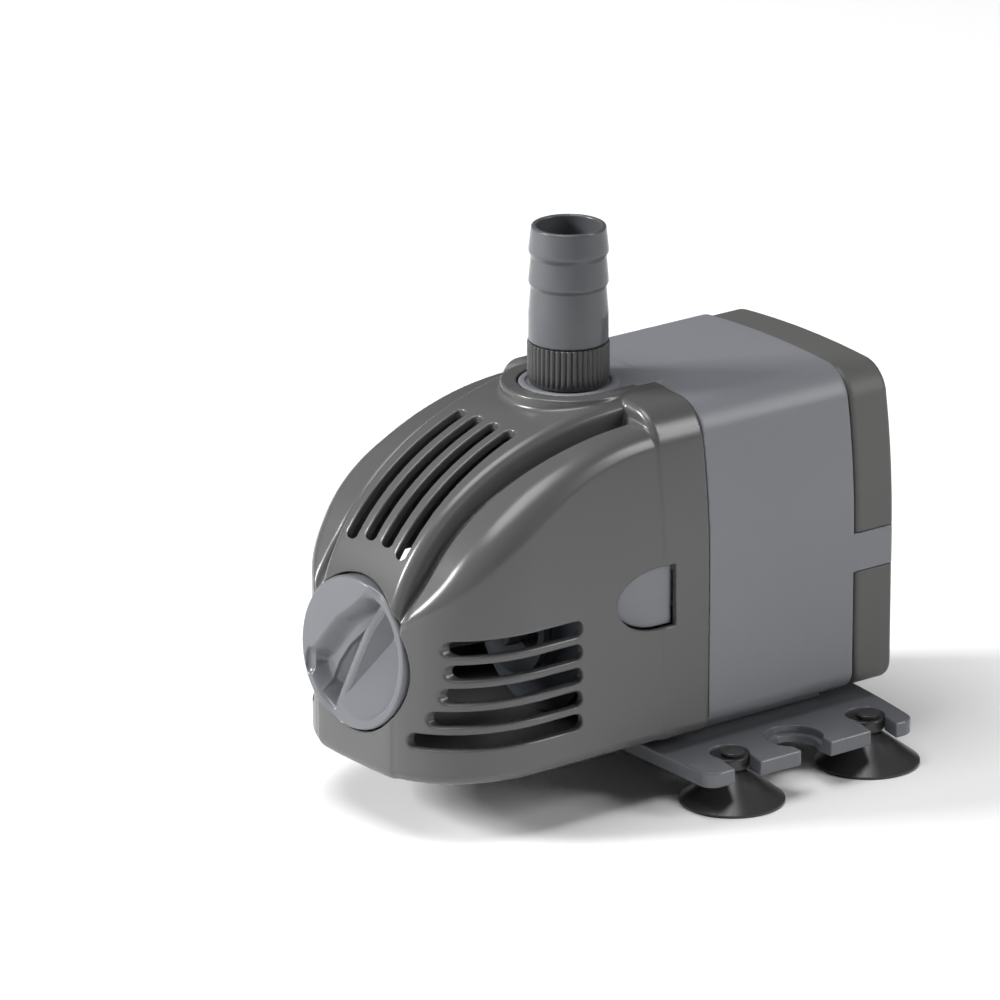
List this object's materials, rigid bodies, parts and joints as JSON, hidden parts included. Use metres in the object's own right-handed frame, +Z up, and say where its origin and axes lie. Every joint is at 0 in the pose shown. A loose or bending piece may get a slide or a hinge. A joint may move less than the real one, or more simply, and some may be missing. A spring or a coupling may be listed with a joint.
{
  "type": "wave maker pump",
  "caption": "Submersible aquarium pump with a slotted intake hood, a round flow knob, a barbed hose outlet and a base plate on suction cups.",
  "frame": {"origin": "on the floor, under the middle of the overall box", "axes": "+Z up along the hose outlet; +Y from the flow knob at the front to the cable gland at the back, the longest way; +X to the pump's right side"},
  "size_m": [0.1212, 0.1612, 0.1499],
  "materials": {
    "hood_plastic": "satin gloss",
    "motor_plastic": "satin",
    "cover_plastic": "satin",
    "knob_plastic": "satin gloss",
    "tail_plastic": "satin",
    "collar_plastic": "satin",
    "inner_plastic": "satin",
    "impeller_plastic": "satin",
    "rubber": "matte",
    "magnet": "ground",
    "ceramic": "polished",
    "steel": "brushed",
    "copper": "enamelled wire",
    "resin": "cast"
  },
  "bodies": {
    "pump": {"motor_housing": "motor_plastic", "rear_cover_upper": "cover_plastic", "rear_cover_lower": "cover_plastic", "cable_gland": "rubber", "rotor_well": "inner_plastic", "pump_chamber": "inner_plastic", "chamber_cover": "inner_plastic", "chamber_seal": "rubber", "outlet_seal": "rubber", "rotor_shaft": "ceramic", "front_bush": "rubber", "rear_bush": "rubber", "stator_core": "steel", "coil_left": "copper", "coil_right": "copper", "resin_fill": "resin", "base_plate": "knob_plastic", "base_screws": "steel", "suction_cup_front_left": "rubber", "suction_cup_front_right": "rubber", "suction_cup_rear_left": "rubber", "suction_cup_rear_right": "rubber"},
    "hood": {"front_housing": "hood_plastic"},
    "knob": {"regulator_knob": "knob_plastic", "regulator_stem": "inner_plastic", "regulator_disc": "inner_plastic", "stem_clip": "steel"},
    "rotor": {"impeller": "impeller_plastic", "rotor_magnet": "magnet"},
    "left_latch": {"latch_left": "motor_plastic"},
    "right_latch": {"latch_right": "motor_plastic"},
    "tail": {"hose_tail": "tail_plastic"},
    "collar": {"knurled_collar": "collar_plastic"}
  },
  "joints": [
    {"name": "housing_slide", "type": "slide", "parent": "pump", "child": "hood", "axis": [0, -1, 0], "range_m": [0, 0.1]},
    {"name": "knob_turn", "type": "hinge", "parent": "hood", "child": "knob", "pos_m": [0, -0.0766, 0.0472], "axis": [0, -0.9969, 0.0785], "range_deg": [-90, 0]},
    {"name": "rotor_spin", "type": "hinge", "parent": "pump", "child": "rotor", "pos_m": [0, 0, 0.0427], "axis": [0, 1, 0], "continuous": true},
    {"name": "latch_left_flex", "type": "hinge", "parent": "pump", "child": "left_latch", "pos_m": [-0.0326, 0.0096, 0.0575], "axis": [0, 0, 1], "range_deg": [0, 5], "stiffness_Nm_per_rad": 0.5},
    {"name": "latch_right_flex", "type": "hinge", "parent": "pump", "child": "right_latch", "pos_m": [0.0326, 0.0096, 0.0575], "axis": [0, 0, -1], "range_deg": [0, 5], "stiffness_Nm_per_rad": 0.5},
    {"name": "tail_lift", "type": "slide", "parent": "pump", "child": "tail", "axis": [0, 0, 1], "range_m": [0, 0.004]},
    {"name": "collar_turn", "type": "hinge", "parent": "tail", "child": "collar", "pos_m": [0, -0.0075, 0.113], "axis": [0, 0, 1], "range_deg": [0, 1440]}
  ],
  "couplings": [
    {"joint": "tail_lift", "follows": "collar_turn", "m_per_rad": 0.00015915}
  ]
}
